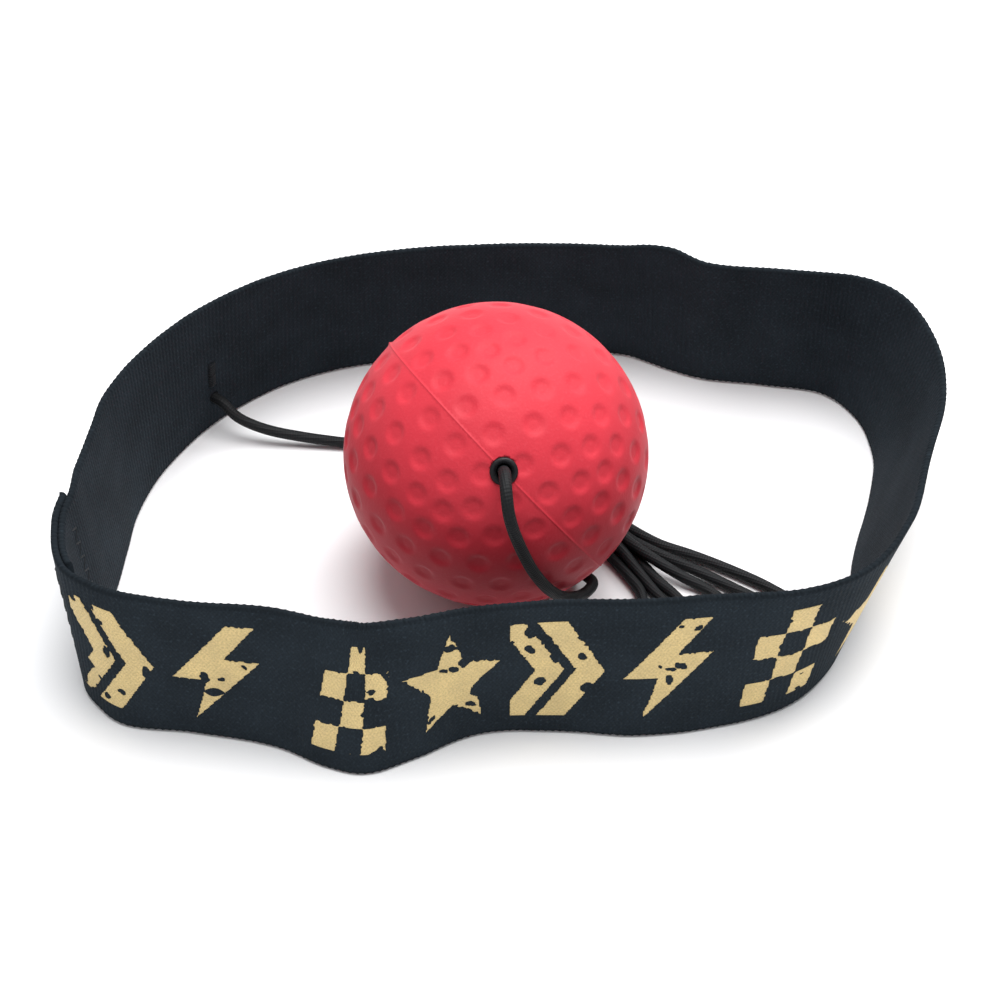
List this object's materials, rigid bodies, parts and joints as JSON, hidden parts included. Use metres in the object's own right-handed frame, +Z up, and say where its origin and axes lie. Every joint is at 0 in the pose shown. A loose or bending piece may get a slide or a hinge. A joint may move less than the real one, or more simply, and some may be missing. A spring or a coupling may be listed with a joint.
{
  "type": "reflex ball headband",
  "caption": "Elastic head band with a dimpled foam ball tied to it by a long thin cord, for punching reflex training.",
  "frame": {"origin": "the bottom centre of the box of the band and the ball as they lie, on the surface that they lie on", "axes": "+Z up, square to the surface; +X along the loop's longer way, to the right with the printed front towards the viewer; +Y away from the viewer, towards the back of the loop"},
  "size_m": [0.1904, 0.1344, 0.0649],
  "materials": {
    "webbing": "matte",
    "thread": "satin",
    "foam": "satin",
    "grommet": "satin",
    "cord": "matte",
    "print": "matte"
  },
  "bodies": {
    "headband": {"headband_strip": "webbing", "lap_needle_thread_1": "thread", "lap_needle_thread_2": "thread", "lap_bobbin_thread_1": "thread", "lap_bobbin_thread_2": "thread", "anchor_bartack": "thread", "anchor_knot": "cord", "cord_in_band": "cord", "cord_band_run": "cord", "cord_hank_back": "cord", "cord_hank_fan": "cord", "cord_ball_run": "cord"},
    "cord_end": {"cord_in_ball": "cord", "end_knot": "cord"},
    "ball": {"foam_ball": "foam", "front_grommet": "grommet", "rear_grommet": "grommet"}
  },
  "joints": [
    {"name": "ball_lift", "type": "slide", "parent": "headband", "child": "cord_end", "axis": [0, 0, 1], "range_m": [0, 0.045], "deforming": ["cord_ball_run"]},
    {"name": "ball_swivel", "type": "hinge", "parent": "cord_end", "child": "ball", "pos_m": [-0.00389, -0.00626, 0.0325], "axis": [0.0499, -0.799, 0.5993], "continuous": true}
  ]
}
